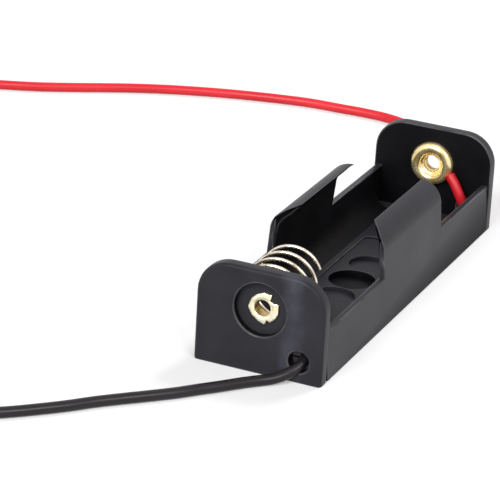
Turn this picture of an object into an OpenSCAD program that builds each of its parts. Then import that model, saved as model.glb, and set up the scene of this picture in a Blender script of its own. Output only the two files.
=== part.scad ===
// Open holder for one AA cell, with two wire leads.
// A one-piece moulded trough with snap-in arms, a tapered spring at the negative end (-Y),
// a brass eyelet at the positive end (+Y), and a lead riveted behind each contact.
// Millimetres. The origin is on the underside, in the middle of the trough. +Y runs from the
// negative end to the positive end, and +Z is the side that the cell goes in by.

/* [Cell bay] */

// Clear length between the two end plates
bay_length = 56.0; // [54:0.1:62]
// Clear width between the side walls at their top
bay_width = 14.6; // [14.4:0.1:16]
// Height of the floor that the cell lies on
floor_top = 1.5; // [1.2:0.1:2.5]
// Radius between floor and side wall inside the bay
bay_fillet = 3.0; // [1.5:0.1:4]
// Length of the squared-off space for the wires at each end of the bay
wire_bay_length = 2.6; // [2:0.1:4]
// Height of the floor in the wire space
wire_bay_floor = 1.3; // [1:0.05:1.3]

/* [Side walls] */

// Height of the side walls
wall_height = 6.7; // [6:0.1:9]
// Wall thickness at the top edge
wall_thickness = 0.9; // [0.8:0.05:1.6]
// How far each wall leans out from its top edge to its foot
wall_draft = 0.3; // [0.1:0.05:0.5]

/* [End plates] */

// Thickness of an end plate
plate_thickness = 1.8; // [1.6:0.1:3]
// Height of an end plate
plate_height = 13.5; // [13:0.1:17]
// Radius of an end plate's upper corners
plate_corner = 4.2; // [2:0.1:6]
// Radius along the outer edge of an end plate
plate_edge = 0.5; // [0.1:0.05:0.6]
// Width at the foot of the relief notches between the side walls and the spring's end plate
relief_width = 0.45; // [0.2:0.05:0.6]
// Height at which the relief notches run out
relief_height = 4.2; // [2:0.1:5]
// Depth of the relief notches at the foot
relief_depth = 0.45; // [0.2:0.05:0.6]

/* [Retaining arms] */

// Length of a retaining arm along the bay
arm_length = 19.8; // [12:0.1:26]
// Middle of the arms, measured from the middle of the bay
arm_middle = 0.5; // [-3:0.1:3]
// Height of a retaining arm's tip
arm_top = 13.05; // [12.6:0.05:15]
// Outer radius of the curl at the top of an arm
arm_curl = 3.0; // [2:0.1:4]
// How far an arm leans in between the wall top and its curl
arm_lean = 0.25; // [0:0.05:0.6]
// Length of the slanted corner at an arm's tip, towards the spring
arm_corner = 3.0; // [1:0.1:5]

/* [Floor] */

// Width of the flat pocket in the floor
pocket_width = 7.8; // [6:0.1:8]
// Length of the flat pocket
pocket_length = 29.6; // [28:0.1:40]
// Depth of the flat pocket below the floor
pocket_depth = 0.25; // [0.1:0.05:0.3]
// Corner radius of the flat pocket
pocket_corner = 1.0; // [0.5:0.1:2]
// Radius of the middle recess
deep_recess_radius = 3.1; // [2:0.1:3.5]
// Thickness of the skin left under the middle recess
deep_recess_skin = 0.35; // [0.3:0.05:0.8]
// Radius of the recess on each side of it
recess_radius = 2.7; // [2:0.1:3]
// Depth of the side recesses below the pocket
recess_depth = 0.55; // [0.2:0.05:0.6]
// Distance between the recesses' centres
recess_pitch = 5.9; // [5.9:0.1:8]
// Middle recess, measured from the middle of the bay
recess_middle = 0.4; // [-2:0.1:2]

/* [Contacts] */

// Height of the contacts' axis
contact_z = 8.4; // [8:0.1:8.8]
// Diameter of the rivet hole through an end plate
rivet_hole = 2.8; // [2.6:0.1:3.2]
// Gap between a rivet's barrel and its hole, on the radius
rivet_gap = 0.04; // [0.02:0.01:0.1]
// Diameter of the counterbore on an end plate's outer face
counterbore = 6.9; // [6.5:0.1:8]
// Depth of the counterbore
counterbore_depth = 1.0; // [0.6:0.05:1.2]
// Outer diameter of a rivet's rolled flange
flange = 6.1; // [5.6:0.1:6.4]
// Height of the rolled flange
flange_height = 1.0; // [0.6:0.05:1.2]
// Diameter of the hole through a rivet
rivet_bore = 2.1; // [1.6:0.1:2.2]
// Thickness of the clinched end
clinch_thickness = 0.35; // [0.2:0.05:0.5]

/* [Contact spring] */

// Diameter of the spring wire
spring_wire = 0.45; // [0.4:0.05:0.6]
// Mean radius of the spring at its base turn
spring_base_radius = 4.3; // [4.1:0.05:5.2]
// Mean radius of the spring at its free end
spring_top_radius = 3.7; // [3:0.1:4.1]
// Free height of the spring above the end plate
spring_height = 9.8; // [8:0.1:12]
// Number of open turns
spring_turns = 3.65; // [2.65:0.5:4.65]
// How much the turns open out towards the free end, from the mean pitch
pitch_growth = 0.25; // [0:0.05:0.4]
// Pitch of the closed base turn
spring_closed_pitch = 0.55; // [0.55:0.05:0.8]
// Room for the bare strands under the base turn
strand_room = 0.55; // [0.55:0.05:0.8]
// Gap between the spring and what it lies on or under
spring_gap = 0.03; // [0.02:0.01:0.05]

/* [Leads] */

// Diameter of a lead over its insulation
lead = 1.4; // [1.2:0.1:1.6]
// Diameter of a lead's bare strands
conductor = 0.5; // [0.4:0.05:0.6]
// Diameter of the wire hole in an end plate
wire_hole = 2.8; // [2.4:0.1:2.8]
// Wire holes, measured from the middle of the trough
wire_hole_x = 5.4; // [5:0.1:5.6]
// Height of the wire holes' axis
wire_hole_z = 2.75; // [2.75:0.05:3.2]
// Mean radius of a wound lead
coil_radius = 7.7; // [7:0.1:8.4]
// Distance between neighbouring turns of a wound lead
coil_pitch = 1.5; // [1.4:0.05:1.7]
// Thickness of the tie round a wound lead
tie_thickness = 0.3; // [0.2:0.05:0.5]
// Width of the tie
tie_width = 2.4; // [1.5:0.1:4]
// Length of a lead's stripped and tinned end
tip_length = 5.0; // [3:0.5:8]

/* [Hidden] */

// Overlap that lets a cut run clear of a face, and the steps of a quarter round
cut = 1;
quarter_steps = 10;

// Trough
trough_top_half = bay_width/2 + wall_thickness;
trough_foot_half = trough_top_half + wall_draft;
total_length = bay_length + 2*plate_thickness;
wall_batter = 0.1;
bay_foot_half = bay_width/2 - wall_batter;
pocket_floor = floor_top - pocket_depth;

// Retaining arms: the curl's centre, its foot and the thinned tip
arm_root_x = trough_top_half;
arm_curl_x = arm_root_x - arm_lean - arm_curl;
arm_curl_z = arm_top - arm_curl;
arm_wall = wall_thickness + 0.1;
arm_tip_angle = 62;
arm_tip_thickness = 0.2;

// Contacts: each one is drawn along +Z from the end plate's inner face
web = plate_thickness - counterbore_depth;
barrel_radius = rivet_hole/2 - rivet_gap;
spring_seat = spring_wire + 2*spring_gap;
loop_radius = barrel_radius + spring_gap + spring_wire/2 + 0.1;
strand_seat = conductor/2 + 0.02;

// Spring path, wound right-handed: a fixing loop, a spiral out to the base turn, the closed base
// turn and the open turns, counted in turns from the start of the base turn
loop_start = -1.21;
loop_end = -0.35;
closed_turns = 0.75;
ease_turns = 0.35;
path_end = closed_turns + spring_turns;
spiral_rise = 0.6;
base_angle = 164;
steps_per_turn = 16;
base_lift = spring_wire/2 + strand_room;
closed_lift = base_lift + spring_closed_pitch*closed_turns;
open_height = spring_height - spring_wire/2 - closed_lift;
open_pitch = (open_height - (spring_closed_pitch - pitch_growth)*ease_turns/2)
  /(spring_turns - ease_turns/2);
first_pitch = open_pitch - pitch_growth;

// Sideways and upward lean of the free end, as wound, in parts of the spring's height
spring_lean = [-0.06, 0.06];

// Wound leads: centre and number of turns side by side. The black one winds clockwise and the
// red one anticlockwise, both inwards, and each tip turns in from its innermost turn.
black_coil = [-36, -55];
black_turns = 3;
red_coil = [-83, 31];
red_turns = 2;
coil_z = tie_thickness + lead/2;
tie_gap = 0.1;
tip_turn = 35;

// Where the outermost turn of a wound lead begins, at the given angle round the coil
function coil_start(centre, turns, angle) =
  let (r = coil_radius + (turns - 1)*coil_pitch/2)
  [centre[0] + r*cos(angle), centre[1] + r*sin(angle), coil_z];

// Free stretch of the black lead, from inside the bay to the start of its coil
black_route = [
  [5.35, -27.0, 4.4], [5.5, -27.15, 3.8], [5.6, -27.5, 3.25], [5.6, -28.15, 2.8],
  [5.5, -29.0, 2.45], [5.2, -29.8, 2.15], [4.6, -30.5, 1.6], [3.85, -31.05, 1.15],
  [3.0, -31.6, 0.85], [2.1, -32.35, 0.73], [1.2, -33.3, 0.7], [-0.2, -34.9, 0.7],
  [-1.8, -36.8, 0.7], [-3.5, -38.7, 0.7], [-5.4, -40.9, 0.7], [-7.8, -43.3, 0.7],
  [-10.2, -45.6, 0.7], [-12.6, -48.0, 0.7], [-14.9, -50.6, 0.7], [-17.3, -53.0, 0.7],
  [-19.9, -55.4, 0.7], [-22.6, -57.5, 0.7], [-25.3, -59.3, 0.75], [-28.0, -61.0, 0.9],
  coil_start(black_coil, black_turns, -56),
];

// Free stretch of the red lead, from inside the bay to the start of its coil
red_route = [
  [3.05, 27.25, 7.2], [3.75, 27.05, 6.4], [4.35, 26.9, 5.5], [4.85, 26.85, 4.6], [5.25, 27.1, 3.75],
  [5.4, 27.95, 3.1], [5.4, 29.3, 2.75], [5.35, 30.8, 2.55], [5.1, 32.5, 2.1],
  [4.5, 34.6, 1.45], [3.5, 37.0, 0.95], [2.2, 39.6, 0.7], [0.5, 42.6, 0.7],
  [-1.6, 45.8, 0.7], [-4.1, 49.0, 0.7], [-7.0, 52.1, 0.7], [-10.2, 55.2, 0.7],
  [-13.2, 58.2, 0.7], [-15.9, 60.6, 0.7], [-19.1, 61.9, 0.7], [-23.0, 61.9, 0.7],
  [-27.2, 61.4, 0.7], [-31.6, 60.9, 0.7], [-36.0, 60.1, 0.7], [-40.4, 59.0, 0.7],
  [-44.8, 57.7, 0.7], [-49.2, 56.1, 0.7], [-53.5, 54.3, 0.7], [-57.7, 52.2, 0.7],
  [-61.8, 49.8, 0.7], [-65.9, 47.3, 0.7], [-70.0, 45.0, 0.7], [-74.3, 43.1, 0.7],
  [-78.4, 41.5, 0.7], [-82.4, 40.1, 0.85], coil_start(red_coil, red_turns, 112),
];

// Points of an arc in a plane
function arc(x, y, r, from, to, steps) =
  [for (i = [0:steps]) let (a = from + (to - from)*i/steps) [x + r*cos(a), y + r*sin(a)]];

function unit(v) = v/norm(v);
function mix(a, b, t) = a + (b - a)*t;
function smooth(t) = t*t*(3 - 2*t);
function clamp01(t) = max(0, min(1, t));

// Tangent at each point of a path, and normals carried along it without twist
function tangents(p) =
  [for (i = [0:len(p) - 1]) unit(p[min(i + 1, len(p) - 1)] - p[max(i - 1, 0)])];
function carried(t, n, i = 0) =
  let (m = unit(n - (n*t[i])*t[i]))
  i == len(t) - 1 ? [m] : concat([m], carried(t, m, i + 1));

// Solid tube of the given diameter along a path
module tube(path, diameter, sides) {
  t = tangents(path);
  n = carried(t, cross(t[0], [0.31, 0.17, 0.94]));
  count = len(path);
  points = [for (i = [0:count - 1], k = [0:sides - 1])
    let (a = 360*k/sides)
    path[i] + diameter/2*(cos(a)*n[i] + sin(a)*cross(t[i], n[i]))];
  skin = [for (i = [0:count - 2], k = [0:sides - 1])
    let (a = i*sides + k, b = i*sides + (k + 1)%sides)
    [a, a + sides, b + sides, b]];
  near_cap = [[for (k = [0:sides - 1]) k]];
  far_cap = [[for (k = [sides - 1:-1:0]) (count - 1)*sides + k]];
  polyhedron(points, concat(skin, near_cap, far_cap), convexity = 8);
}

// Lays a shape drawn in X and Z along Y
module along_y(length) {
  translate([0, length/2, 0])
    rotate([90, 0, 0])
      linear_extrude(height = length)
        children();
}

// Puts a shape drawn along +Z on an end plate's inner face, pointing into the bay.
// end is -1 at the negative plate and +1 at the positive one.
module on_plate(end) {
  translate([0, end*bay_length/2, contact_z])
    rotate([end*90, 0, 0])
      children();
}

// ---------- moulding ----------

function bay_outline() = concat(
  [[bay_width/2, wall_height + cut], [bay_width/2, wall_height]],
  arc(bay_foot_half - bay_fillet, floor_top + bay_fillet, bay_fillet, 0, -90, quarter_steps),
  arc(-bay_foot_half + bay_fillet, floor_top + bay_fillet, bay_fillet, -90, -180, quarter_steps),
  [[-bay_width/2, wall_height], [-bay_width/2, wall_height + cut]]);

module trough_section() {
  difference() {
    polygon([
      [-trough_foot_half, 0], [trough_foot_half, 0],
      [trough_top_half, wall_height], [-trough_top_half, wall_height],
    ]);
    polygon(bay_outline());
  }
}

// End plate outline, drawn in by inset all round except along the foot
function plate_outline(inset) = concat(
  [[-trough_foot_half + inset, 0], [trough_foot_half - inset, 0]],
  arc(trough_foot_half - plate_corner, plate_height - plate_corner, plate_corner - inset,
      0, 90, quarter_steps),
  arc(-trough_foot_half + plate_corner, plate_height - plate_corner, plate_corner - inset,
      90, 180, quarter_steps));

module plate_slice(inset, from_face, thickness) {
  translate([0, from_face, 0])
    rotate([90, 0, 0])
      linear_extrude(height = thickness)
        polygon(plate_outline(inset));
}

// Plate with its outer face at y = 0 and a rounded outer edge, lying towards +Y
module plate() {
  slice = 0.01;
  hull() {
    plate_slice(0, plate_thickness, plate_thickness - plate_edge);
    for (i = [1:3])
      let (a = 30*i)
      plate_slice(plate_edge*(1 - cos(a)), plate_edge*(1 - sin(a)) + slice, slice);
  }
}

function arm_outline() = concat(
  [[arm_root_x, wall_height]],
  arc(arm_curl_x, arm_curl_z, arm_curl, 0, 90, quarter_steps),
  [[arm_curl_x + 0.05, arm_top - arm_tip_thickness]],
  arc(arm_curl_x, arm_curl_z, arm_curl - arm_wall, arm_tip_angle, 0, 7),
  [[bay_width/2, wall_height], [bay_width/2, wall_height - wall_thickness],
   [arm_root_x, wall_height - wall_thickness]]);

// One arm, on the +X side
module arm() {
  difference() {
    translate([0, arm_middle, 0])
      along_y(arm_length)
        polygon(arm_outline());
    translate([0, arm_middle - arm_length/2, wall_height + 0.5])
      linear_extrude(height = plate_height)
        polygon([
          [arm_curl_x - cut, -cut], [arm_root_x - arm_wall, -cut],
          [arm_root_x - arm_wall, 0], [arm_curl_x, arm_corner],
          [arm_curl_x - cut, arm_corner],
        ]);
  }
}

module pocket() {
  half_w = pocket_width/2 - pocket_corner;
  half_l = pocket_length/2 - pocket_corner;
  corners = concat(
    arc(half_w, half_l, pocket_corner, 0, 90, 5), arc(-half_w, half_l, pocket_corner, 90, 180, 5),
    arc(-half_w, -half_l, pocket_corner, 180, 270, 5),
    arc(half_w, -half_l, pocket_corner, 270, 360, 5));
  translate([0, 0, pocket_floor])
    linear_extrude(height = pocket_depth + 2)
      polygon(corners);
}

module recesses() {
  translate([0, recess_middle, deep_recess_skin])
    cylinder(r = deep_recess_radius, h = floor_top, $fn = 48);
  for (side = [-1, 1])
    translate([0, recess_middle + side*recess_pitch, pocket_floor - recess_depth])
      cylinder(r = recess_radius, h = floor_top, $fn = 48);
}

module wire_bays() {
  width = 2*(bay_foot_half - wall_batter);
  for (end = [-1, 1])
    translate([-width/2, end*(bay_length - wire_bay_length)/2 - wire_bay_length/2, wire_bay_floor])
      cube([width, wire_bay_length, wall_height]);
}

// Narrow wedges that set the spring's end plate off from both side walls
module relief_notches() {
  for (side = [0, 1])
    mirror([side, 0, 0])
      translate([trough_foot_half - relief_depth, -bay_length/2, 0])
        rotate([90, 0, 90])
          linear_extrude(height = relief_depth + cut)
            polygon([[0, -cut], [relief_width*(1 + cut/relief_height), -cut], [0, relief_height]]);
}

module plate_holes() {
  for (end = [-1, 1]) {
    on_plate(end)
      translate([0, 0, -plate_thickness - cut])
        cylinder(d = rivet_hole, h = plate_thickness + 2*cut, $fn = 32);
    on_plate(end)
      translate([0, 0, -plate_thickness - cut])
        cylinder(d = counterbore, h = counterbore_depth + cut, $fn = 64);
    translate([wire_hole_x, end*bay_length/2, wire_hole_z])
      rotate([end*90, 0, 0])
        translate([0, 0, -plate_thickness - cut])
          cylinder(d = wire_hole, h = plate_thickness + 2*cut, $fn = 32);
  }
}

module holder_body() {
  color("#2b2b2e")
    difference() {
      union() {
        along_y(bay_length + plate_thickness)
          trough_section();
        for (side = [0, 1])
          mirror([side, 0, 0])
            arm();
        translate([0, -total_length/2, 0])
          plate();
        mirror([0, 1, 0])
          translate([0, -total_length/2, 0])
            plate();
      }
      pocket();
      recesses();
      wire_bays();
      relief_notches();
      plate_holes();
    }
}

// ---------- contacts ----------

// Rolled flange, barrel and bore of a hollow rivet, drawn from the plate's inner face.
// seat is the height at which the flange's underside lies. The flange rises from its rim in a
// dome, rolls over a crest near the bore and runs down a funnel into the barrel.
module rivet_turning(seat) {
  bore = rivet_bore/2;
  crest = mix(bore, flange/2, 0.36);
  dome = flange/2 - crest;
  rim = flange_height*0.12;
  funnel = crest - bore;
  rotate_extrude($fn = 48)
    polygon(concat(
      [[bore, -web - clinch_thickness], [barrel_radius, -web - clinch_thickness],
       [barrel_radius, seat], [flange/2 - rim/2, seat]],
      [for (i = [0:8]) let (a = 11.25*i)
        [crest + dome*cos(a), seat + rim + (flange_height - rim)*sin(a)]],
      [for (i = [1:5]) let (a = 16*i)
        [crest - funnel*0.8*sin(a), seat + flange_height*(0.35 + 0.65*cos(a))]],
      [[bore, seat - 0.15]]));
}

// Clinched end: the barrel's petals pressed flat, with the splits between them left open
module clinched_end(outline) {
  translate([0, 0, -web - clinch_thickness])
    difference() {
      linear_extrude(height = clinch_thickness - spring_gap)
        polygon(outline);
      translate([0, 0, -cut])
        cylinder(d = rivet_bore, h = 2*cut, $fn = 32);
    }
}

// Outlines of the two clinched ends, seen from the spring's end of the holder
split_petals = [
  [-1.95, -0.1], [-1.55, 1.05], [-0.8, 1.75], [0.05, 2.1], [0.7, 1.95], [1.2, 2.05],
  [1.15, 1.55], [0.95, 1.2], [1.3, 0.95], [1.95, 0.95], [2.15, 0.85], [2.15, -0.4],
  [1.8, -1.1], [1.2, -1.75], [0.65, -1.5], [0.55, -1.9], [0.4, -2.2], [-0.55, -1.8],
  [-1.4, -1.15], [-1.75, -0.55],
];
even_petals = [for (i = [0:17]) let (a = 20*i, r = i%3 == 0 ? 1.7 : 2.1) [r*cos(a), r*sin(a)]];

module negative_rivet() {
  color("#d9b95c")
    on_plate(-1) {
      rivet_turning(spring_seat);
      mirror([0, 1, 0])
        clinched_end([for (p = split_petals) [p[0], p[1]]]);
    }
}

module positive_eyelet() {
  color("#d9b95c")
    on_plate(1) {
      rivet_turning(0);
      clinched_end(even_petals);
    }
}

// ---------- spring ----------

function spring_radius(t) =
  t < loop_end ? loop_radius
  : t < 0 ? mix(spring_base_radius, loop_radius, smooth(t/loop_end))
  : mix(spring_base_radius, spring_top_radius,
        pow(clamp01((t - closed_turns)/spring_turns), 2));

// Height of the open turns: the pitch grows quickly over the ease, then slowly to the free end
function open_rise(t) =
  let (e = min(t, ease_turns), run = t - e)
  spring_closed_pitch*e + (first_pitch - spring_closed_pitch)*e*e/(2*ease_turns)
  + first_pitch*run + pitch_growth*run*run/(spring_turns - ease_turns);

function spring_level(t) =
  let (low = spring_gap + spring_wire/2)
  t < loop_end ? low
  : t < 0 ? mix(low, base_lift, smooth(clamp01((1 - t/loop_end - spiral_rise)/(1 - spiral_rise))))
  : t < closed_turns ? base_lift + spring_closed_pitch*t
  : closed_lift + open_rise(t - closed_turns);

module contact_spring() {
  steps = round((path_end - loop_start)*steps_per_turn);
  path = [for (i = [0:steps])
    let (t = mix(loop_start, path_end, i/steps), a = base_angle - 360*t,
         r = spring_radius(t), h = spring_level(t), lean = spring_lean*h)
    [r*cos(a) + lean[0], -r*sin(a) - lean[1], h]];
  color("#e6dfc8")
    on_plate(-1)
      tube(path, spring_wire, 6);
}

// ---------- leads ----------

module lead_coil(centre, turns) {
  half_width = (turns - 1)*coil_pitch/2 + lead/2;
  rim = lead/4;
  translate([centre[0], centre[1], tie_thickness])
    rotate_extrude($fn = 48)
      translate([coil_radius, 0])
        polygon([
          [-half_width + rim, 0], [half_width - rim, 0], [half_width, rim],
          [half_width, lead - rim], [half_width - rim, lead],
          [-half_width + rim, lead], [-half_width, lead - rim], [-half_width, rim],
        ]);
}

// Tie wrapped round the coil's turns, at the given angle round the coil
module lead_tie(centre, turns, angle) {
  inner = (turns - 1)*coil_pitch + lead + 2*tie_gap;
  translate([centre[0], centre[1], 0])
    rotate([0, 0, angle])
      translate([coil_radius, tie_width/2, 0])
        rotate([90, 0, 0])
          linear_extrude(height = tie_width)
            difference() {
              translate([-inner/2 - tie_thickness, 0])
                square([inner + 2*tie_thickness, lead + 2*tie_thickness + tie_gap]);
              translate([-inner/2, tie_thickness - tie_gap/2])
                square([inner, lead + tie_gap]);
            }
}

// Tinned end, lying inside the coil from its last turn
module lead_tip(centre, turns, angle, winding) {
  start_radius = coil_radius - (turns - 1)*coil_pitch/2 - lead/2;
  translate([centre[0] + start_radius*cos(angle), centre[1] + start_radius*sin(angle), coil_z])
    rotate([0, 0, angle + winding*(90 + tip_turn)])
      rotate([0, 90, 0])
        cylinder(d = conductor*1.3, h = tip_length, $fn = 16);
}

module red_lead() {
  color("#e0323c") tube(red_route, lead, 8);
}

module red_lead_coil() {
  color("#e0323c") lead_coil(red_coil, red_turns);
}

module red_lead_tie() {
  color("#f2f2ee") lead_tie(red_coil, red_turns, -60);
}

module red_lead_tip() {
  color("#c9cacd") lead_tip(red_coil, red_turns, 202, 1);
}

module red_conductor() {
  plate_y = bay_length/2 - strand_seat;
  color("#c9cacd")
    tube([red_route[0], [2.75, plate_y - 0.15, 7.5], [2.35, plate_y, 7.8],
          [1.75, plate_y, 8.15]], conductor, 8);
}

module black_lead() {
  color("#2b272b") tube(black_route, lead, 8);
}

module black_lead_coil() {
  color("#2b272b") lead_coil(black_coil, black_turns);
}

module black_lead_tie() {
  color("#f2f2ee") lead_tie(black_coil, black_turns, 20);
}

module black_lead_tip() {
  color("#c9cacd") lead_tip(black_coil, black_turns, 124, -1);
}

module black_conductor() {
  plate_y = -bay_length/2 + strand_seat;
  color("#c9cacd")
    tube([black_route[0], [5.1, plate_y + 0.3, 4.65], [4.7, plate_y, 5.0],
          [3.8, plate_y, 5.7], [2.0, plate_y, 7.05]], conductor, 8);
}

holder_body();
contact_spring();
negative_rivet();
positive_eyelet();
red_lead();
red_lead_coil();
red_lead_tie();
red_lead_tip();
red_conductor();
black_lead();
black_lead_coil();
black_lead_tie();
black_lead_tip();
black_conductor();
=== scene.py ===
import math

import bmesh
import bpy
from mathutils import Matrix, Vector


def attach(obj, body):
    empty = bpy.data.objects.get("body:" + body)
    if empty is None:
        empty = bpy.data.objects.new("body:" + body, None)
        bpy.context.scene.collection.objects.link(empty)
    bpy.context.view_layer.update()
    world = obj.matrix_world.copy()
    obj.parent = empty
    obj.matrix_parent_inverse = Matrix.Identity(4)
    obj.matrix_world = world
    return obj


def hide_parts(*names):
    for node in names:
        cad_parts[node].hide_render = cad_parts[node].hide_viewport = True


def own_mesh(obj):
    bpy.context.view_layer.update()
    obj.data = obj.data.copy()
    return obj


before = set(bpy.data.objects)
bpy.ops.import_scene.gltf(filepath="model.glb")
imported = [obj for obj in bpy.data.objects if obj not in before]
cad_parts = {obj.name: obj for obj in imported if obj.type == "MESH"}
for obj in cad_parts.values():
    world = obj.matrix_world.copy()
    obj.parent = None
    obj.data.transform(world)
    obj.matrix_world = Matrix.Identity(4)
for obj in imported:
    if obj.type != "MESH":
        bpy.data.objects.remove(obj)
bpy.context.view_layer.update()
mm = 0.001
print("frame loaded")

# sizes of the moulding that more than one piece is fitted to
holder = {
    "plateFace": 28.0 * mm,  # inner face of each end plate, from the middle of the bay
    "contactHeight": 8.4 * mm,
    "wireHole": (5.4 * mm, 2.75 * mm),  # sideways, and above the underside
}


def metres(points):
    return [tuple(c * mm for c in point) for point in points]


# the camera stands at an angle round the holder, then slides in its own plane
cameraView = {
    "azimuth": 23.151,  # degrees, from the spring end towards the wire holes' side
    "elevation": 22.738,
    "roll": 3.245,
    "distance": 377.17 * mm,
    "aim": (0, 0, 6.75 * mm),
    "slide": (-13.378 * mm, -1.12 * mm),  # sideways and upwards
    "lens": 210.25,
    "sensor": 36,
    "clip": (0.01, 50),
}


def buildCamera(view):
    azimuth, elevation, roll = (math.radians(view[key]) for key in ("azimuth", "elevation", "roll"))
    flat = math.cos(elevation)
    back = Vector((math.sin(azimuth) * flat, -math.cos(azimuth) * flat, math.sin(elevation)))
    level = Vector((0, 0, 1)).cross(back).normalized()
    upright = back.cross(level)
    right = level * math.cos(roll) + upright * math.sin(roll)
    up = upright * math.cos(roll) - level * math.sin(roll)
    data = bpy.data.cameras.new("productCamera")
    data.lens = view["lens"]
    data.sensor_width = view["sensor"]
    data.clip_start, data.clip_end = view["clip"]
    camera = bpy.data.objects.new("productCamera", data)
    bpy.context.collection.objects.link(camera)
    spot = Vector(view["aim"]) + right * view["slide"][0] + up * view["slide"][1]
    turn = Matrix((right, up, back)).transposed().to_4x4()
    camera.matrix_world = Matrix.Translation(spot + back * view["distance"]) @ turn
    bpy.context.scene.camera = camera


buildCamera(cameraView)
print("camera set")


# each lead is a route, listed in millimetres, out of its wire hole and then a wound remainder
leads = {
    "length": 0.18,
    "diameter": 1.4 * mm,
    "coilRadius": 7.7 * mm,
    "coilPitch": 1.5 * mm,
    "coilHeight": 1.0 * mm,
    "pointsPerTurn": 16,
    "tipTurn": 35,  # degrees that the stripped end turns in from the last turn
    "tipLength": 5.0 * mm,
    "roundness": 6,
    "stepsPerPoint": 6,
}

blackRoute = [
    (5.35, -27.0, 4.4), (5.5, -27.15, 3.8), (5.6, -27.5, 3.25), (5.6, -28.15, 2.65),
    (5.4, -29.0, 2.1), (4.95, -29.75, 1.65), (4.3, -30.4, 1.25), (3.6, -31.05, 0.95),
    (2.85, -31.75, 0.76), (2.05, -32.5, 0.7), (1.15, -33.4, 0.7), (-0.2, -34.9, 0.7),
    (-1.8, -36.8, 0.7), (-3.5, -38.7, 0.7), (-5.4, -40.9, 0.7), (-7.8, -43.3, 0.7),
    (-10.2, -45.6, 0.7), (-12.6, -48.0, 0.7), (-14.9, -50.6, 0.7), (-17.3, -53.0, 0.7),
    (-19.9, -55.4, 0.7), (-22.6, -57.5, 0.7), (-25.3, -59.3, 0.75), (-28.0, -61.0, 0.9),
]

redRoute = [
    (2.85, 27.35, 7.4), (3.65, 27.1, 6.5), (4.35, 26.9, 5.5), (4.85, 26.85, 4.6), (5.25, 27.1, 3.75),
    (5.4, 27.95, 3.1), (5.4, 29.3, 2.75), (5.35, 30.8, 2.55), (5.1, 32.5, 2.1),
    (4.5, 34.6, 1.45), (3.5, 37.0, 0.95), (2.2, 39.6, 0.7), (0.5, 42.6, 0.7),
    (-1.6, 45.8, 0.7), (-4.1, 49.0, 0.7), (-7.0, 52.1, 0.7), (-10.2, 55.2, 0.7),
    (-13.1, 57.8, 0.7), (-15.9, 59.9, 0.7), (-19.2, 61.0, 0.7), (-23.0, 61.3, 0.7),
    (-27.2, 61.1, 0.7), (-31.6, 60.9, 0.7), (-36.0, 60.1, 0.7), (-40.4, 59.0, 0.7),
    (-44.8, 57.7, 0.7), (-49.2, 56.1, 0.7), (-53.5, 54.3, 0.7), (-57.7, 52.2, 0.7),
    (-61.8, 49.8, 0.7), (-65.9, 47.3, 0.7), (-70.0, 45.0, 0.7), (-74.3, 43.1, 0.7),
    (-78.4, 41.5, 0.7), (-82.4, 40.1, 0.85),
]

# coilAt is the middle of the wound turns; from is the angle at which the route joins them
blackLead = {
    "route": blackRoute, "exit": (5.35, -29.5, 2.5),
    "coilAt": (-36, -55), "rows": 3, "turns": 2.5, "from": -56, "hand": -1,
}
redLead = {
    "route": redRoute, "exit": (5.4, 29.3, 2.75),
    "coilAt": (-83, 31), "rows": 2, "turns": 1.25, "from": 112, "hand": 1,
}


def addSpline(curve, points):
    # one smooth line through all the points
    spline = curve.splines.new("BEZIER")
    spline.bezier_points.add(len(points) - 1)
    for knot, place in zip(spline.bezier_points, points):
        knot.co = place
        knot.handle_left_type = knot.handle_right_type = "AUTO"


def coilPoints(lead):
    # a flat spiral, wound inwards from the outermost turn
    outer = leads["coilRadius"] + (lead["rows"] - 1) * leads["coilPitch"] / 2
    count = round(lead["turns"] * leads["pointsPerTurn"])
    cx, cy = (c * mm for c in lead["coilAt"])
    points = []
    for i in range(count):
        turn = lead["turns"] * i / count
        angle = math.radians(lead["from"] + lead["hand"] * 360 * turn)
        radius = outer - leads["coilPitch"] * turn
        points.append((cx + radius * math.cos(angle), cy + radius * math.sin(angle), leads["coilHeight"]))
    return points


def tipPlace(lead):
    inner = leads["coilRadius"] - (lead["rows"] - 1) * leads["coilPitch"] / 2 - leads["diameter"] / 2
    angle = math.radians(lead["from"] + lead["hand"] * 360 * lead["turns"])
    heading = angle + lead["hand"] * math.radians(90 + leads["tipTurn"])
    cx, cy = (c * mm for c in lead["coilAt"])
    start = Vector((cx + inner * math.cos(angle), cy + inner * math.sin(angle), leads["coilHeight"]))
    return start, Vector((math.cos(heading), math.sin(heading), 0))


def buildLead(name, lead):
    points = metres(lead["route"]) + coilPoints(lead)
    points.append(tuple(tipPlace(lead)[0]))
    data = bpy.data.curves.new(name, "CURVE")
    data.dimensions = "3D"
    data.bevel_depth = leads["diameter"] / 2
    data.bevel_resolution = leads["roundness"]
    data.use_fill_caps = True
    data.resolution_u = leads["stepsPerPoint"]
    addSpline(data, points)
    piece = bpy.data.objects.new(name, data)
    bpy.context.collection.objects.link(piece)
    length = sum((Vector(a) - Vector(b)).length for a, b in zip(points, points[1:]))
    print(name, "is", round(length / mm, 1), "mm long between its points")
    return piece


blackPiece = buildLead("blackLeadInsulation", blackLead)
redPiece = buildLead("redLeadInsulation", redLead)


# node helpers: a value is a number or another node's output


def feed(tree, socket, value):
    if isinstance(value, (int, float)):
        socket.default_value = value
    else:
        tree.links.new(value, socket)


def maths(tree, operation, *values):
    node = tree.nodes.new("ShaderNodeMath")
    node.operation = operation
    for socket, value in zip(node.inputs, values):
        feed(tree, socket, value)
    return node.outputs[0]


def noiseOf(tree, place, scale, detail):
    node = tree.nodes.new("ShaderNodeTexNoise")
    node.inputs["Detail"].default_value = detail
    feed(tree, node.inputs["Vector"], place)
    feed(tree, node.inputs["Scale"], scale)
    return node.outputs["Fac"]


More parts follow.
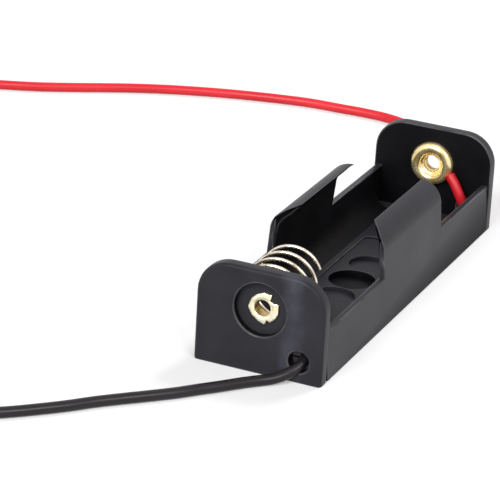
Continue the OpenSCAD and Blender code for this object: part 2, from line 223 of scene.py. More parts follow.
def mapRange(tree, source, fromRange, toRange, kind="LINEAR"):
    node = tree.nodes.new("ShaderNodeMapRange")
    node.interpolation_type = kind
    for label, value in zip(("From Min", "From Max", "To Min", "To Max"), (*fromRange, *toRange)):
        node.inputs[label].default_value = value
    tree.links.new(source, node.inputs["Value"])
    return node.outputs["Result"]


def newGroup(name, inputs, outputs):
    tree = bpy.data.node_groups.new(name, "ShaderNodeTree")
    for label, value in inputs:
        socket = tree.interface.new_socket(label, in_out="INPUT", socket_type="NodeSocketFloat")
        socket.default_value = value
    for label in outputs:
        tree.interface.new_socket(label, in_out="OUTPUT", socket_type="NodeSocketFloat")
    return tree, tree.nodes.new("NodeGroupInput"), tree.nodes.new("NodeGroupOutput")


def mouldGrainGroup():
    # fine satin grain of a moulded or extruded plastic, with broad soft patches
    tree, inp, out = newGroup(
        "mouldGrain", [("Grain Scale", 900.0), ("Patch Scale", 60.0)], ["Grain", "Patches"],
    )
    place = tree.nodes.new("ShaderNodeTexCoord").outputs["Object"]
    tree.links.new(noiseOf(tree, place, inp.outputs["Grain Scale"], 4), out.inputs["Grain"])
    tree.links.new(noiseOf(tree, place, inp.outputs["Patch Scale"], 3), out.inputs["Patches"])
    return tree


def handlingGroup():
    # hairline scratches, drawn out one way, and dull spots of thin plated or bare metal
    tree, inp, out = newGroup(
        "handling", [("Scratch Scale", 1400.0), ("Spot Scale", 420.0)], ["Scratches", "Spots"],
    )
    place = tree.nodes.new("ShaderNodeTexCoord").outputs["Object"]
    stretch = tree.nodes.new("ShaderNodeMapping")
    stretch.inputs["Scale"].default_value = (1.0, 0.18, 1.0)
    stretch.inputs["Rotation"].default_value = (0.4, 0.2, 0.7)
    tree.links.new(place, stretch.inputs["Vector"])
    scratches = noiseOf(tree, stretch.outputs["Vector"], inp.outputs["Scratch Scale"], 5)
    spots = noiseOf(tree, place, inp.outputs["Spot Scale"], 4)
    tree.links.new(scratches, out.inputs["Scratches"])
    tree.links.new(spots, out.inputs["Spots"])
    return tree


mouldGrain = mouldGrainGroup()
handling = handlingGroup()
print("shader groups built")


# most of a noise texture's values lie in the first range; metal takes its spots from the second
noiseRange = (0.3, 0.7)
spotRange = (0.32, 0.62)


def newMaterial(name):
    material = bpy.data.materials.new(name)
    material.use_nodes = True
    return material, material.node_tree, material.node_tree.nodes["Principled BSDF"]


def placeGroup(tree, group, values):
    node = tree.nodes.new("ShaderNodeGroup")
    node.node_tree = group
    for label, value in values.items():
        node.inputs[label].default_value = value
    return node.outputs


def ramp(tree, source, places, dark, light):
    node = tree.nodes.new("ShaderNodeValToRGB")
    for element, place, colour in zip(node.color_ramp.elements, places, (dark, light)):
        element.position = place
        element.color = (*colour, 1)
    tree.links.new(source, node.inputs["Fac"])
    return node.outputs["Color"]


def bumpFrom(tree, shader, source, values):
    node = tree.nodes.new("ShaderNodeBump")
    node.inputs["Strength"].default_value = values["bump"]
    node.inputs["Distance"].default_value = values["depth"]
    tree.links.new(source, node.inputs["Height"])
    tree.links.new(node.outputs["Normal"], shader.inputs["Normal"])


def plasticMaterial(name, dark, light, roughness, values):
    material, tree, shader = newMaterial(name)
    scales = {"Grain Scale": values["grainScale"], "Patch Scale": values["patchScale"]}
    grain = placeGroup(tree, mouldGrain, scales)
    tree.links.new(ramp(tree, grain["Patches"], noiseRange, dark, light), shader.inputs["Base Color"])
    tree.links.new(mapRange(tree, grain["Patches"], noiseRange, roughness), shader.inputs["Roughness"])
    bumpFrom(tree, shader, grain["Grain"], values)
    shader.inputs["IOR"].default_value = values["ior"]
    return material


def metalMaterial(name, dark, light, roughness, values):
    material, tree, shader = newMaterial(name)
    scales = {"Scratch Scale": values["scratchScale"], "Spot Scale": values["spotScale"]}
    marks = placeGroup(tree, handling, scales)
    tree.links.new(ramp(tree, marks["Spots"], spotRange, dark, light), shader.inputs["Base Color"])
    tree.links.new(mapRange(tree, marks["Spots"], noiseRange, roughness), shader.inputs["Roughness"])
    bumpFrom(tree, shader, marks["Scratches"], values)
    shader.inputs["Metallic"].default_value = values.get("metallic", 1)
    return material


# a soft bluish reflection, painted into the black plastic's colour as a streak: painted sheen
paintedSheen = {
    "at": 4.3 * mm,  # sideways from the middle of an end plate
    "halfWidth": 1.7 * mm,
    "waver": 3.4 * mm,
    "waverScale": 230,
    "onPlate": (28.9 * mm, 29.5 * mm),  # from the middle of the bay; it comes up between these
    "blotches": (0.15, 1.0),
    "blotchScale": 330,
    "colour": (0.062, 0.062, 0.082),
}


def addPaintedSheen(material, sheen):
    # a painted sheen: a paler, broken, bluish streak painted down the outer face of both end plates, beside
    # the rivet, where a soft reflection would lie
    tree = material.node_tree
    shader = tree.nodes["Principled BSDF"]
    place = tree.nodes.new("ShaderNodeTexCoord").outputs["Object"]
    split = tree.nodes.new("ShaderNodeSeparateXYZ")
    tree.links.new(place, split.inputs["Vector"])
    waver = noiseOf(tree, place, sheen["waverScale"], 3)
    sideways = maths(tree, "MULTIPLY_ADD", waver, sheen["waver"], split.outputs["X"])
    away = maths(tree, "ABSOLUTE", maths(tree, "SUBTRACT", sideways, sheen["at"] + sheen["waver"] / 2))
    band = mapRange(tree, away, (0, sheen["halfWidth"]), (1, 0), "SMOOTHSTEP")
    onPlate = mapRange(tree, maths(tree, "ABSOLUTE", split.outputs["Y"]), sheen["onPlate"], (0, 1))
    blotches = mapRange(tree, noiseOf(tree, place, sheen["blotchScale"], 2), noiseRange, sheen["blotches"])
    amount = maths(tree, "MULTIPLY", band, maths(tree, "MULTIPLY", blotches, onPlate))
    blend = tree.nodes.new("ShaderNodeMix")
    blend.data_type = "RGBA"
    plain, marked = (socket for socket in blend.inputs if socket.type == "RGBA")
    blended = next(socket for socket in blend.outputs if socket.type == "RGBA")
    marked.default_value = (*sheen["colour"], 1)
    tree.links.new(amount, blend.inputs["Factor"])
    tree.links.new(shader.inputs["Base Color"].links[0].from_socket, plain)
    tree.links.new(blended, shader.inputs["Base Color"])


# each finish has a dark and a light colour, the range of its roughness and its grain
finishes = {
    "moulding": plasticMaterial(
        "blackMoulding", (0.0180, 0.0175, 0.0215), (0.0310, 0.0300, 0.0365), (0.32, 0.44),
        {"grainScale": 1500, "patchScale": 130, "bump": 0.3, "depth": 0.04 * mm, "ior": 1.22},
    ),
    # a lighter, glossier copy of the black plastic for the rounded edges: a painted edge highlight
    "mouldingEdgeHighlight": plasticMaterial(
        "blackMouldingEdge", (0.020, 0.020, 0.023), (0.090, 0.090, 0.097), (0.22, 0.34),
        {"grainScale": 1500, "patchScale": 260, "bump": 0.2, "depth": 0.03 * mm, "ior": 1.32},
    ),
    # a much darker copy of the black plastic for the faces inside the bay: painted shade
    "mouldingPaintedShade": plasticMaterial(
        "blackMouldingInside", (0.0020, 0.0020, 0.0026), (0.0050, 0.0050, 0.0064), (0.42, 0.56),
        {"grainScale": 1500, "patchScale": 160, "bump": 0.4, "depth": 0.04 * mm, "ior": 1.2},
    ),
    "redInsulation": plasticMaterial(
        "redInsulation", (0.56, 0.008, 0.016), (0.72, 0.016, 0.028), (0.34, 0.46),
        {"grainScale": 1100, "patchScale": 140, "bump": 0.2, "depth": 0.03 * mm, "ior": 1.46},
    ),
    "blackInsulation": plasticMaterial(
        "blackInsulation", (0.0085, 0.0065, 0.008), (0.014, 0.011, 0.0135), (0.26, 0.36),
        {"grainScale": 1100, "patchScale": 140, "bump": 0.2, "depth": 0.03 * mm, "ior": 1.37},
    ),
    "tie": plasticMaterial(
        "tieStrip", (0.74, 0.74, 0.71), (0.84, 0.84, 0.82), (0.38, 0.5),
        {"grainScale": 1300, "patchScale": 180, "bump": 0.25, "depth": 0.04 * mm, "ior": 1.45},
    ),
    "brass": metalMaterial(
        "rivetBrass", (0.70, 0.51, 0.19), (0.98, 0.82, 0.46), (0.20, 0.32),
        {"metallic": 0.8, "scratchScale": 1500, "spotScale": 620, "bump": 0.2, "depth": 0.03 * mm},
    ),
    # a paler copy of the brass for the clinched petals: partly freshly torn, cold-worked metal and partly a
    # painted highlight
    "brassPetalsHighlit": metalMaterial(
        "rivetPetalBrass", (0.86, 0.74, 0.46), (1.0, 0.95, 0.74), (0.2, 0.34),
        {"scratchScale": 1500, "spotScale": 620, "bump": 0.25, "depth": 0.03 * mm},
    ),
    # a darker, browner copy of the brass for the bore's walls: painted shade
    "brassBorePaintedShade": metalMaterial(
        "rivetBoreBrass", (0.24, 0.14, 0.035), (0.62, 0.42, 0.15), (0.22, 0.36),
        {"scratchScale": 1500, "spotScale": 900, "bump": 0.3, "depth": 0.03 * mm},
    ),
    "spring": metalMaterial(
        "springWire", (0.55, 0.47, 0.36), (0.88, 0.82, 0.72), (0.10, 0.22),
        {"scratchScale": 1500, "spotScale": 700, "bump": 0.15, "depth": 0.02 * mm},
    ),
    "tinned": metalMaterial(
        "tinnedCopper", (0.52, 0.51, 0.50), (0.80, 0.80, 0.81), (0.16, 0.3),
        {"scratchScale": 1800, "spotScale": 800, "bump": 0.25, "depth": 0.02 * mm},
    ),
}
addPaintedSheen(finishes["moulding"], paintedSheen)
print("materials built")


def newPiece(name, mesh, *materials):
    piece = bpy.data.objects.new(name, mesh)
    bpy.context.collection.objects.link(piece)
    for material in materials:
        mesh.materials.append(material)
    return piece


def smoothByAngle(mesh, degrees):
    mesh.shade_smooth()
    mesh.set_sharp_from_angle(angle=math.radians(degrees))


def applyModifiers(piece):
    depsgraph = bpy.context.evaluated_depsgraph_get()
    mesh = bpy.data.meshes.new_from_object(piece.evaluated_get(depsgraph))
    piece.modifiers.clear()
    piece.data = mesh
    return mesh


mouldingEdges = {
    "radius": 0.2 * mm,
    "segments": 2,
    "sharpAngle": 35,
    # the plain plastic, the painted edge highlight on the rounded edges, and the painted shade inside the
    # bay
    "finishes": ["moulding", "mouldingEdgeHighlight", "mouldingPaintedShade"],
}

edgeRoom = {
    "nextEdge": 0.42,  # the part of a neighbouring edge that a rounding may take
    "straightOn": -0.82,  # cosine at which a neighbouring edge only carries on the line
    "recessRim": 0.04 * mm,  # the recesses' rims nearly touch, so they are rounded less
    "recessReach": (6 * mm, 10 * mm, 1.7 * mm),  # sideways, lengthways and upwards
    "mergeWithin": 0.002 * mm,
    "flatWithin": 0.6,
}

# which faces of the moulding take the painted shade, a much darker copy of its black plastic
paintedShadeRoom = {
    "halfWidth": 8.45 * mm,
    "halfLength": holder["plateFace"] + 0.05 * mm,
    "floor": 1.45 * mm,
    "underside": 0.1 * mm,
    "recess": 3.15 * mm,
    "recessAt": (0, 0.4 * mm),
    "farLedge": (20 * mm, 3.6 * mm),  # where it starts, and its top
    "holes": (((0, holder["contactHeight"]), 4.9 * mm), (holder["wireHole"], 1.5 * mm)),
    "touch": 0.02 * mm,
    "leaning": 0.2,  # the least part of a face's normal that counts as facing some way
    "endOn": 0.5,  # and the most that a hole's wall may face along the holder
}


def edgeWeights(shape, values):
    # full width where there is room, narrower beside short edges; inner corners stay sharp
    weights = shape.edges.layers.float.new("bevel_weight_edge")
    sideways, lengthways, upwards = edgeRoom["recessReach"]
    for edge in shape.edges:
        if len(edge.link_faces) != 2 or edge.calc_face_angle(0) < math.radians(values["sharpAngle"]):
            continue
        if not edge.is_convex:
            edge.smooth = False
            continue
        room = values["radius"]
        places = [corner.co for corner in edge.verts]
        if all(abs(p.x) < sideways and abs(p.y) < lengthways and p.z < upwards for p in places):
            room = edgeRoom["recessRim"]
        for corner in edge.verts:
            along = (edge.other_vert(corner).co - corner.co).normalized()
            for other in corner.link_edges:
                onward = (other.other_vert(corner).co - corner.co).normalized()
                if other != edge and along.dot(onward) > edgeRoom["straightOn"]:
                    room = min(room, edgeRoom["nextEdge"] * other.calc_length())
        edge[weights] = room / values["radius"]


def inHole(place, normal):
    # the walls of the rivet's counterbore and of the wire hole, in either end plate
    for centre, reach in paintedShadeRoom["holes"]:
        outwards = place.xz - Vector(centre)
        if outwards.length < reach and outwards.dot(normal.xz) < 0:
            return abs(normal.y) < paintedShadeRoom["endOn"]
    return False


def takesPaintedShade(face):
    # faces that take the painted shade: the bay's walls, its deepest recess, the end plates' inner faces,
    # the far ledge's top and the walls of the holes in its end plates
    place, normal, leaning = face.calc_center_median(), face.normal, paintedShadeRoom["leaning"]
    if abs(place.y) > paintedShadeRoom["halfLength"]:
        return inHole(place, normal)
    if abs(place.x) > paintedShadeRoom["halfWidth"]:
        return False
    fromRecess = max((corner.co.xy - Vector(paintedShadeRoom["recessAt"])).length for corner in face.verts)
    if fromRecess < paintedShadeRoom["recess"] and paintedShadeRoom["underside"] < place.z < paintedShadeRoom["floor"]:
        return True
    if abs(abs(place.y) - holder["plateFace"]) < paintedShadeRoom["touch"] and normal.y * place.y < 0:
        return True
    ledgeStart, ledgeTop = paintedShadeRoom["farLedge"]
    if place.y > ledgeStart and paintedShadeRoom["floor"] < place.z < ledgeTop and normal.z > leaning:
        return True
    return place.z > paintedShadeRoom["floor"] and abs(normal.x) > leaning and normal.x * place.x < 0


def softCopy(node, name, values):
    # a copy of a solid, with its flat faces merged and its edges rounded over
    mesh = bpy.data.objects[node].data.copy()
    shape = bmesh.new()
    shape.from_mesh(mesh)
    bmesh.ops.remove_doubles(shape, verts=shape.verts, dist=edgeRoom["mergeWithin"])
    bmesh.ops.dissolve_limit(
        shape, angle_limit=math.radians(edgeRoom["flatWithin"]), verts=shape.verts, edges=shape.edges,
        use_dissolve_boundaries=False,
    )
    edgeWeights(shape, values)
    for face in shape.faces:
        # faces inside the bay, its deepest recess and the plates' holes take the painted shade
        face.material_index = 2 if len(values["finishes"]) > 2 and takesPaintedShade(face) else 0
    mesh.materials.clear()
    shape.to_mesh(mesh)
    shape.free()
    piece = newPiece(name, mesh, *[finishes[f] for f in values["finishes"]])
    mesh.shade_smooth()
    bevel = piece.modifiers.new("softEdges", "BEVEL")
    bevel.width = values["radius"]
    bevel.segments = values["segments"]
    bevel.limit_method = "WEIGHT"
    bevel.use_clamp_overlap = False
    # the rounded edges take the lighter copy of the plastic, a painted edge highlight
    bevel.material = 1 if len(values["finishes"]) > 1 else -1
    flats = piece.modifiers.new("flatFaces", "WEIGHTED_NORMAL")
    flats.weight = 100
    flats.keep_sharp = True
    applyModifiers(piece)
    return piece


moulding = softCopy("holder_body", "mouldedHolder", mouldingEdges)
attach(moulding, "holder")
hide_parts("holder_body")
print("moulding built with", len(moulding.data.polygons), "faces")


# wire and strands that follow a path


def groupInput(tree, label, kind, value=None):
    socket = tree.interface.new_socket(label, in_out="INPUT", socket_type=kind)
    if value is not None:
        socket.default_value = value
    return socket.identifier


def strandTree():
    # round strands laid side by side round a path, with a twist; one strand is a plain wire
    tree = bpy.data.node_groups.new("strandsOnPath", "GeometryNodeTree")
    tree.interface.new_socket("Path", in_out="INPUT", socket_type="NodeSocketGeometry")
    ids = {
        "steps": groupInput(tree, "Steps", "NodeSocketInt", 60),
        "strands": groupInput(tree, "Strands", "NodeSocketInt", 7),
        "diameter": groupInput(tree, "Strand Diameter", "NodeSocketFloat", 0.2 * mm),
        "bundle": groupInput(tree, "Bundle Radius", "NodeSocketFloat", 0.15 * mm),
        "lay": groupInput(tree, "Twist per Metre", "NodeSocketFloat", 900.0),
        "stray": groupInput(tree, "Stray", "NodeSocketFloat", 0.0),
        "seed": groupInput(tree, "Stray Seed", "NodeSocketFloat", 11.0),
        "sides": groupInput(tree, "Sides", "NodeSocketInt", 12),
        "finish": groupInput(tree, "Finish", "NodeSocketMaterial"),
    }
    tree.interface.new_socket("Strands", in_out="OUTPUT", socket_type="NodeSocketGeometry")
    nodes, links = tree.nodes, tree.links
    inp, out = nodes.new("NodeGroupInput"), nodes.new("NodeGroupOutput")

    def vectorMaths(operation, first, second=None, scale=None):
        node = nodes.new("ShaderNodeVectorMath")
        node.operation = operation
        links.new(first, node.inputs[0])
        if second is not None:
            links.new(second, node.inputs[1])
        if scale is not None:
            links.new(scale, node.inputs["Scale"])
        return node.outputs["Vector"]

    resample = nodes.new("GeometryNodeResampleCurve")
    links.new(inp.outputs["Path"], resample.inputs["Curve"])
    links.new(inp.outputs["Steps"], resample.inputs["Count"])
    copies = nodes.new("GeometryNodeDuplicateElements")
    copies.domain = "SPLINE"
    links.new(resample.outputs["Curve"], copies.inputs["Geometry"])
    links.new(inp.outputs["Strands"], copies.inputs["Amount"])
    along = nodes.new("GeometryNodeSplineParameter").outputs["Length"]
    index = copies.outputs["Duplicate Index"]
    share = maths(tree, "DIVIDE", index, inp.outputs["Strands"])
    turns = maths(tree, "MULTIPLY_ADD", along, inp.outputs["Twist per Metre"], share)
    wander = nodes.new("ShaderNodeTexNoise")
    wander.noise_dimensions = "4D"
    wander.inputs["Scale"].default_value = 600
    links.new(nodes.new("GeometryNodeInputPosition").outputs[0], wander.inputs["Vector"])
    ownStray = maths(tree, "MULTIPLY_ADD", index, 3.7, inp.outputs["Stray Seed"])  # each strand has its own
    links.new(ownStray, wander.inputs["W"])
    offCentre = maths(tree, "SUBTRACT", wander.outputs["Fac"], 0.5)
    strayTurns = maths(tree, "MULTIPLY", offCentre, inp.outputs["Stray"])
    angle = maths(tree, "MULTIPLY", maths(tree, "ADD", turns, strayTurns), 2 * math.pi)
    tangent = nodes.new("GeometryNodeInputTangent").outputs[0]
    normal = nodes.new("GeometryNodeInputNormal").outputs[0]
    across = vectorMaths("CROSS_PRODUCT", tangent, normal)
    bundle = inp.outputs["Bundle Radius"]
    one = vectorMaths("SCALE", normal, scale=maths(tree, "MULTIPLY", maths(tree, "COSINE", angle), bundle))
    two = vectorMaths("SCALE", across, scale=maths(tree, "MULTIPLY", maths(tree, "SINE", angle), bundle))
    move = nodes.new("GeometryNodeSetPosition")
    links.new(copies.outputs["Geometry"], move.inputs["Geometry"])
    links.new(vectorMaths("ADD", one, two), move.inputs["Offset"])
    profile = nodes.new("GeometryNodeCurvePrimitiveCircle")
    links.new(inp.outputs["Sides"], profile.inputs["Resolution"])
    links.new(maths(tree, "MULTIPLY", inp.outputs["Strand Diameter"], 0.5), profile.inputs["Radius"])
    sweep = nodes.new("GeometryNodeCurveToMesh")
    sweep.inputs["Fill Caps"].default_value = True
    links.new(move.outputs["Geometry"], sweep.inputs["Curve"])
    links.new(profile.outputs["Curve"], sweep.inputs["Profile Curve"])
    real = nodes.new("GeometryNodeRealizeInstances")
    links.new(sweep.outputs["Mesh"], real.inputs["Geometry"])
    dress = nodes.new("GeometryNodeSetMaterial")
    links.new(real.outputs["Geometry"], dress.inputs["Geometry"])
    links.new(inp.outputs["Finish"], dress.inputs["Material"])
    links.new(dress.outputs["Geometry"], out.inputs["Strands"])
    return tree, ids


strandsOnPath, strandInputs = strandTree()


def cleanMesh(mesh):
    shape = bmesh.new()
    shape.from_mesh(mesh)
    bmesh.ops.remove_doubles(shape, verts=shape.verts, dist=0.0005 * mm)
    bmesh.ops.recalc_face_normals(shape, faces=shape.faces)
    shape.to_mesh(mesh)
    shape.free()


def strandPiece(name, points, finish, values):
    # sweeps the strands along the points and keeps the result as a plain mesh
    data = bpy.data.curves.new(name + "Path", "CURVE")
    data.dimensions = "3D"
    data.resolution_u = 8
    addSpline(data, points)
    path = bpy.data.objects.new(name + "Path", data)
    bpy.context.collection.objects.link(path)
    modifier = path.modifiers.new("strands", "NODES")
    modifier.node_group = strandsOnPath
    for key, value in values.items():
        modifier[strandInputs[key]] = value
    modifier[strandInputs["finish"]] = finish
    depsgraph = bpy.context.evaluated_depsgraph_get()
    mesh = bpy.data.meshes.new_from_object(path.evaluated_get(depsgraph))
    bpy.data.objects.remove(path)
    cleanMesh(mesh)
    piece = newPiece(name, mesh, finish)
    smoothByAngle(mesh, 50)
    return piece


springWire = {
    "wire": 0.45 * mm,
    "baseRadius": 4.3 * mm,
    "topRadius": 3.7 * mm,
    "loopRadius": 1.715 * mm,
    "freeHeight": 9.8 * mm,
    "travel": 5.3 * mm,
    "lowLift": 0.255 * mm,  # level of the fixing loop, under the rivet's flange
    "baseLift": 0.775 * mm,  # level of the base turn, over the bare strands
    "closedPitch": 0.55 * mm,
    "closedTurns": 0.75,
    "openTurns": 3.65,
    "pitchGrowth": 0.25 * mm,
    "easeTurns": 0.35,
    "loopStart": -1.21,
    "loopEnd": -0.35,
    "spiralRise": 0.6,
    "baseAngle": 164,
    "lean": (-0.06, 0.06),  # sideways and upwards, in parts of the height
    "pointsPerTurn": 24,
}


def mixOf(a, b, share):
    return a + (b - a) * share


def eased(share):
    share = max(0.0, min(1.0, share))
    return share * share * (3 - 2 * share)


def springPoints(values):
    closed, ease, growth = values["closedPitch"], values["easeTurns"], values["pitchGrowth"]
    endTurn = values["closedTurns"] + values["openTurns"]
    closedLift = values["baseLift"] + closed * values["closedTurns"]
    span = values["freeHeight"] - values["wire"] / 2 - closedLift
    pitch = (span - (closed - growth) * ease / 2) / (values["openTurns"] - ease / 2) - growth
    steps = round((endTurn - values["loopStart"]) * values["pointsPerTurn"])
    points = []
    for i in range(steps + 1):
        t = mixOf(values["loopStart"], endTurn, i / steps)
        opened = t - values["closedTurns"]
        taper = max(0.0, opened / values["openTurns"]) ** 2
        radius = mixOf(values["baseRadius"], values["topRadius"], taper)
        if t < values["loopEnd"]:
            radius, level = values["loopRadius"], values["lowLift"]
        elif t < 0:
            radius = mixOf(values["baseRadius"], values["loopRadius"], eased(t / values["loopEnd"]))
            rise = (1 - t / values["loopEnd"] - values["spiralRise"]) / (1 - values["spiralRise"])
            level = mixOf(values["lowLift"], values["baseLift"], eased(rise))
        elif opened < 0:
            level = values["baseLift"] + closed * t
        else:
            e = min(opened, ease)
            run = opened - e
            level = closedLift + closed * e + (pitch - closed) * e * e / (2 * ease)
            level += pitch * run + growth * run * run / (values["openTurns"] - ease)
        angle = math.radians(values["baseAngle"] - 360 * t)
        points.append((
            radius * math.cos(angle) + values["lean"][0] * level,
            level - holder["plateFace"],
            holder["contactHeight"] + radius * math.sin(angle) + values["lean"][1] * level,
        ))
    return points


springSweep = {
    "steps": 240, "strands": 1, "diameter": springWire["wire"], "bundle": 0.0, "lay": 0.0, "stray": 0.0,
    "seed": 11.0, "sides": 16,
}
springPiece = strandPiece("contactSpringWire", springPoints(springWire), finishes["spring"], springSweep)
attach(springPiece, "spring")
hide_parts("contact_spring")
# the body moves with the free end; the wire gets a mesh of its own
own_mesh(springPiece)
print("spring wound with", len(springPiece.data.polygons), "faces")


rivetSizes = {
    "web": 0.8 * mm,  # what the counterbore leaves of the end plate
    "bore": 1.05 * mm,
    "barrel": 1.36 * mm,
    "flange": 3.05 * mm,
    "flangeHeight": 1.0 * mm,
    "crest": 0.6,  # part of the way from the bore to the flange's rim
    "rim": 0.12,  # part of the flange's height
    "rimFoot": ((0.5, 0.0), (0.12, 0.35)),  # inwards and upwards, in parts of the rim
    "funnel": 0.62,  # part of the way from the crest back to the bore
    "funnelTurn": 76,  # degrees
    "funnelDrop": 0.58,
    "lip": ((0.72, 0.48), (0.82, 0.40), (0.90, 0.26), (0.97, 0.08)),  # inwards, and height left
    "lipFoot": 0.15 * mm,
    "springSeat": 0.51 * mm,
    "clinch": 0.35 * mm,
    "clinchGap": 0.03 * mm,
    "clinchMouth": ((0, 0.20), (0.05, 0.09), (0.16, 0.02)),  # millimetres outwards and down
    "clinchDish": ((0.35, 0.0), (0.6, 0.0), (0.8, 0.03), (0.93, 0.09)),  # share of the way, and down
    "clinchEdge": (0.19 * mm, 0.03 * mm),  # how far the torn rim rolls down, and then in
    "boreReach": 1.071 * mm,  # faces within this of the axis are the bore's own
    "steps": 96,
    "clinchSteps": 180,
    "domeSteps": 18,
    "funnelSteps": 7,
}

# outline of the torn end, as it came out of the clinching tool, in millimetres
splitPetals = [
    (-1.95, -0.1), (-1.55, 1.05), (-0.8, 1.75), (0.05, 2.1), (0.7, 1.95), (1.2, 2.05),
    (1.15, 1.55), (0.95, 1.2), (1.3, 0.95), (1.95, 0.95), (2.15, 0.85), (2.15, -0.4),
    (1.8, -1.1), (1.2, -1.75), (0.65, -1.5), (0.55, -1.9), (0.4, -2.2), (-0.55, -1.8),
    (-1.4, -1.15), (-1.75, -0.55),
]


def flangeProfile(values, seat):
    # rim, dome, crest, then a funnel with a faint second lip into the barrel
    bore, barrel, flange, height = (values[key] for key in ("bore", "barrel", "flange", "flangeHeight"))
    crest = mixOf(bore, flange, values["crest"])
    dome, funnel, rim = flange - crest, crest - bore, height * values["rim"]
    bottom = -values["web"] - values["clinch"] / 2
    profile = [(bore, bottom), (barrel, bottom), (barrel, seat)]
    profile += [(flange - rim * inward, seat + rim * level) for inward, level in values["rimFoot"]]
    for i in range(values["domeSteps"] + 1):
        angle = math.radians(90 * i / values["domeSteps"])
        profile.append((crest + dome * math.cos(angle), seat + rim + (height - rim) * math.sin(angle)))
    for i in range(1, values["funnelSteps"] + 1):
        angle = math.radians(values["funnelTurn"] * i / values["funnelSteps"])
        drop = values["funnelDrop"] * (1 - math.cos(angle))
        profile.append((crest - funnel * values["funnel"] * math.sin(angle), seat + height * (1 - drop)))
    profile += [(crest - funnel * inward, seat + height * level) for inward, level in values["lip"]]
    profile.append((bore, seat - values["lipFoot"]))
    return profile


def addRings(shape, rings):
    # closed sections round the axis, each one a list of radius and height, joined into a skin
    rows = []
    for i, ring in enumerate(rings):
        angle = 2 * math.pi * i / len(rings)
        rows.append([shape.verts.new((r * math.cos(angle), r * math.sin(angle), h)) for r, h in ring])
    for i, here in enumerate(rows):
        there = rows[(i + 1) % len(rows)]
        for j in range(len(here)):
            k = (j + 1) % len(here)
            shape.faces.new((here[j], here[k], there[k], there[j]))


def outlineRadius(outline, angle):
    # distance from the axis to the outline along the given direction
    direction = Vector((math.cos(angle), math.sin(angle)))
    best = 0.0
    for a, b in zip(outline, outline[1:] + outline[:1]):
        a, b = Vector(a), Vector(b)
        edge = b - a
        cross = direction.x * edge.y - direction.y * edge.x
        if abs(cross) < 1e-9:
            continue
        reach = (a.x * edge.y - a.y * edge.x) / cross
        share = (a.x * direction.y - a.y * direction.x) / cross
        if reach > 0 and -1e-6 <= share <= 1 + 1e-6:
            best = max(best, reach)
    return best


def clinchRings(values, outline):
    # the clinched end: one dished ring, rolled over and down at its torn rim
    wall, top = values["bore"], -values["web"] - values["clinch"]
    bottom = -values["web"] - values["clinchGap"]
    roll, tuck = values["clinchEdge"]
    mouth = [(wall, bottom)] + [(wall + out * mm, top + down * mm) for out, down in values["clinchMouth"]]
    rings = []
    for i in range(values["clinchSteps"]):
        rim = outlineRadius(outline, 2 * math.pi * i / values["clinchSteps"]) * mm
        dish = [
            (mixOf(mouth[-1][0], rim, share), top + down * mm) for share, down in values["clinchDish"]
        ]
        rings.append(mouth + dish + [(rim, top + roll), (rim - tuck, bottom)])
    return rings


def buildRivet(name, end, seat, outline):
    shape = bmesh.new()
    addRings(shape, [flangeProfile(rivetSizes, seat)] * rivetSizes["steps"])
    addRings(shape, clinchRings(rivetSizes, outline))
    bmesh.ops.recalc_face_normals(shape, faces=shape.faces)
    for face in shape.faces:
        # faces inside the bore take the darker copy of the brass, a painted shade
        inBore = all(corner.co.xy.length < rivetSizes["boreReach"] for corner in face.verts)
        clinched = face.calc_center_median().z < -rivetSizes["web"]
        # the clinched petals take the paler copy of the brass, partly a painted highlight
        face.material_index = 1 if inBore else 2 if clinched else 0
    turn = Matrix.Rotation(math.radians(90 * end), 4, "X")
    place = Matrix.Translation((0, end * holder["plateFace"], holder["contactHeight"]))
    bmesh.ops.transform(shape, matrix=place @ turn, verts=shape.verts)
    mesh = bpy.data.meshes.new(name)
    shape.to_mesh(mesh)
    shape.free()
    piece = newPiece(name, mesh, finishes["brass"], finishes["brassBorePaintedShade"], finishes["brassPetalsHighlit"])
    smoothByAngle(mesh, 55)
    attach(piece, "holder")
    return piece


petalRadii = (1.7, 2.1, 2.1) * 6  # a notch and a petal's two corners, six times round
evenPetals = []
for i, radius in enumerate(petalRadii):
    angle = 2 * math.pi * i / len(petalRadii)
    evenPetals.append((radius * math.cos(angle), radius * math.sin(angle)))
negativeRivet = buildRivet(
    "negativeRivetTurned", -1, rivetSizes["springSeat"], [(x, -y) for x, y in splitPetals]
)
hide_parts("negative_rivet")
positiveEyelet = buildRivet("positiveEyeletTurned", 1, 0.0, evenPetals)
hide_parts("positive_eyelet")
print("rivet and eyelet built")


# bare strands: from the insulation's end, along the plate and in under the flange
strandLevel = holder["plateFace"] / mm - 0.27  # the bundle's middle, before it is pressed flat
conductorPaths = {
    "red_conductor": [
        redRoute[0], (2.6, strandLevel - 0.1, 7.6), (2.35, strandLevel, 7.8), (1.75, strandLevel, 8.15),
    ],
    "black_conductor": [
        blackRoute[0], (5.1, -strandLevel + 0.3, 4.65), (4.7, -strandLevel, 5.0), (3.8, -strandLevel, 5.7),
        (2.0, -strandLevel, 7.05),
    ],
}
strandSizes = {
    "steps": 40, "strands": 7, "diameter": 0.17 * mm, "bundle": 0.155 * mm, "lay": 260.0,
    "stray": 0.35, "seed": 11.0, "sides": 8,
}
tipSizes = dict(strandSizes, diameter=0.215 * mm, bundle=0.205 * mm, lay=160.0, stray=0.2)
pressing = {"share": 0.42, "flatTo": 0.55 * mm, "freeFrom": 1.5 * mm}  # levels above the plate


def tipPoints(lead):
    start, heading = tipPlace(lead)
    return [tuple(start + heading * (leads["tipLength"] * i / 4)) for i in range(5)]


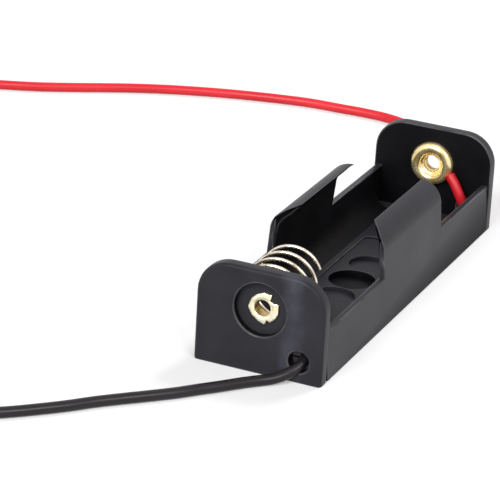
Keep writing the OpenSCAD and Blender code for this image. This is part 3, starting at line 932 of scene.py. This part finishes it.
def pressOnPlate(piece, values):
    # the strands lie pressed flat against the plate, clear of the spring's lowest turn
    flatTo, freeFrom = values["flatTo"], values["freeFrom"]
    for vertex in piece.data.vertices:
        level = holder["plateFace"] - abs(vertex.co.y)
        if level < flatTo:
            pressed = level * values["share"]
        elif level < freeFrom:
            pressed = mixOf(flatTo * values["share"], freeFrom, (level - flatTo) / (freeFrom - flatTo))
        else:
            continue
        vertex.co.y = math.copysign(holder["plateFace"] - pressed, vertex.co.y)


for node, places in conductorPaths.items():
    name = node.replace("_conductor", "Strands")
    strands = strandPiece(name, metres(places), finishes["tinned"], strandSizes)
    pressOnPlate(strands, pressing)
    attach(strands, "holder")
    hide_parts(node)
for name, lead in (("black", blackLead), ("red", redLead)):
    tip = strandPiece(name + "TinnedTip", tipPoints(lead), finishes["tinned"], tipSizes)
    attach(tip, "holder")
    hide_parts(name + "_lead_tip")
print("strands laid")


# a strip tied round each wound remainder
tieEdges = {"radius": 0.08 * mm, "segments": 2, "sharpAngle": 35, "finishes": ["tie"]}

for name in ("red", "black"):
    tie = softCopy(name + "_lead_tie", name + "WireTie", tieEdges)
    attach(tie, "holder")
    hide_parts(name + "_lead_tie")
print("ties closed")


# the leads ride the holder
for name, piece, lead in (("black", blackPiece, blackLead), ("red", redPiece, redLead)):
    piece.data.materials.append(finishes[name + "Insulation"])
    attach(piece, "holder")
    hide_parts(name + "_lead", name + "_lead_coil")


studio = {
    "floorSize": 3.0,
    "floorColour": (0.62, 0.62, 0.62),
    "floorRoughness": 0.9,
    "floorGloss": 0.1,
    "floorLift": 0.31,  # brings the lit floor up to white for the camera and in reflections
    "ambient": 0.22,
    "lampAim": (0, 0, 0.005),
}

lamps = {
    "keyLamp": {"at": (-0.1, -0.8, 0.62), "size": 0.5, "power": 8.5, "mirrored": True},
    "sideLamp": {"at": (0.6, -0.45, 0.6), "size": 0.35, "power": 3.0, "mirrored": True},
    "backLamp": {"at": (0.2, 0.55, 0.75), "size": 0.3, "power": 5.0, "mirrored": False},
}


def cameraOrMirrored(tree):
    path = tree.nodes.new("ShaderNodeLightPath")
    first = maths(tree, "MAXIMUM", path.outputs["Is Camera Ray"], path.outputs["Is Glossy Ray"])
    return maths(tree, "MAXIMUM", first, path.outputs["Is Transmission Ray"])


def buildFloor():
    half = studio["floorSize"] / 2
    mesh = bpy.data.meshes.new("studioFloor")
    corners = [(-half, -half, 0), (half, -half, 0), (half, half, 0), (-half, half, 0)]
    mesh.from_pydata(corners, [], [(0, 1, 2, 3)])
    material, tree, shader = newMaterial("studioFloor")
    shader.inputs["Base Color"].default_value = (*studio["floorColour"], 1)
    shader.inputs["Roughness"].default_value = studio["floorRoughness"]
    shader.inputs["Specular IOR Level"].default_value = studio["floorGloss"]
    shader.inputs["Emission Color"].default_value = (1, 1, 1, 1)
    lift = maths(tree, "MULTIPLY", cameraOrMirrored(tree), studio["floorLift"])
    tree.links.new(lift, shader.inputs["Emission Strength"])
    newPiece("studioFloor", mesh, material)


def buildWorld():
    world = bpy.data.worlds.new("studioWorld")
    bpy.context.scene.world = world
    world.use_nodes = True
    tree = world.node_tree
    background = tree.nodes["Background"]
    background.inputs["Color"].default_value = (1, 1, 1, 1)
    strength = mapRange(tree, cameraOrMirrored(tree), (0, 1), (studio["ambient"], 1))
    tree.links.new(strength, background.inputs["Strength"])


def buildLamps():
    for name, values in lamps.items():
        data = bpy.data.lights.new(name, "AREA")
        data.size = values["size"]
        data.energy = values["power"]
        lamp = bpy.data.objects.new(name, data)
        bpy.context.collection.objects.link(lamp)
        lamp.location = values["at"]
        lamp.visible_glossy = values["mirrored"]
        aim = Vector(studio["lampAim"]) - Vector(values["at"])
        lamp.rotation_euler = aim.to_track_quat("-Z", "Y").to_euler()


buildFloor()
buildWorld()
buildLamps()
bpy.context.scene.view_settings.view_transform = "Standard"
print("studio lit")
